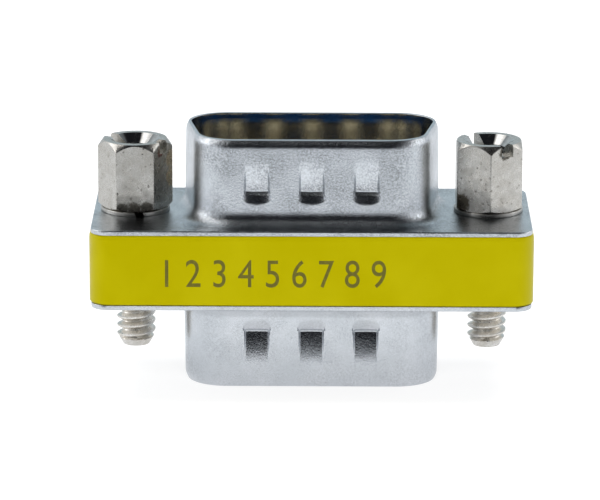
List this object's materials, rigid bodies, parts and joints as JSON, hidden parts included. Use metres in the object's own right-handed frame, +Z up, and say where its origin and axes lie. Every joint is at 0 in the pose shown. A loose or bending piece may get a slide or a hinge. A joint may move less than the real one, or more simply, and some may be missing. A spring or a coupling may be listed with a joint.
{
  "type": "d-sub gender changer",
  "caption": "Low-profile D-sub gender changer: plug shells back to back on a yellow spacer frame, with slotted hexagonal jackscrews whose studs run right through.",
  "frame": {"origin": "centre of the lower plug shell's mouth, on the surface that the part stands on", "axes": "+X along the flange, +Y from the pictured front to the back, +Z up from the lower plug to the upper plug"},
  "size_m": [0.031, 0.0126, 0.0178],
  "materials": {
    "shell_steel": "zinc-plated drawn steel, satin with a fine orange-peel",
    "yellow_plastic": "moulded yellow plastic, satin gloss",
    "blue_plastic": "dark blue moulded insulator",
    "contact_gold": "gold-flashed contact pins",
    "screw_nickel": "nickel-plated hexagonal bar, fine pitted grain",
    "washer_steel": "plated spring steel"
  },
  "bodies": {
    "housing": {"top_shell": "shell_steel", "bottom_shell": "shell_steel", "spacer_frame": "yellow_plastic", "top_insulator": "blue_plastic", "bottom_insulator": "blue_plastic", "contact_1": "contact_gold", "contact_2": "contact_gold", "contact_3": "contact_gold", "contact_4": "contact_gold", "contact_5": "contact_gold", "contact_6": "contact_gold", "contact_7": "contact_gold", "contact_8": "contact_gold", "contact_9": "contact_gold", "captive_nut_left": "washer_steel", "captive_nut_right": "washer_steel"},
    "washer_left": {"lock_washer_left": "washer_steel"},
    "screw_left": {"jackscrew_left": "screw_nickel"},
    "washer_right": {"lock_washer_right": "washer_steel"},
    "screw_right": {"jackscrew_right": "screw_nickel"}
  },
  "joints": [
    {"name": "left_lift", "type": "slide", "parent": "housing", "child": "washer_left", "axis": [0, 0, 1], "range_m": [0, 0.00571]},
    {"name": "left_spin", "type": "hinge", "parent": "washer_left", "child": "screw_left", "pos_m": [-0.01249, 0, 0.0121], "axis": [0, 0, 1], "range_deg": [0, 3240]},
    {"name": "right_lift", "type": "slide", "parent": "housing", "child": "washer_right", "axis": [0, 0, 1], "range_m": [0, 0.00571]},
    {"name": "right_spin", "type": "hinge", "parent": "washer_right", "child": "screw_right", "pos_m": [0.01249, 0, 0.0121], "axis": [0, 0, 1], "range_deg": [0, 3240]}
  ],
  "couplings": [
    {"joint": "left_spin", "follows": "left_lift", "rad_per_m": 9894.8},
    {"joint": "right_spin", "follows": "right_lift", "rad_per_m": 9894.8}
  ]
}
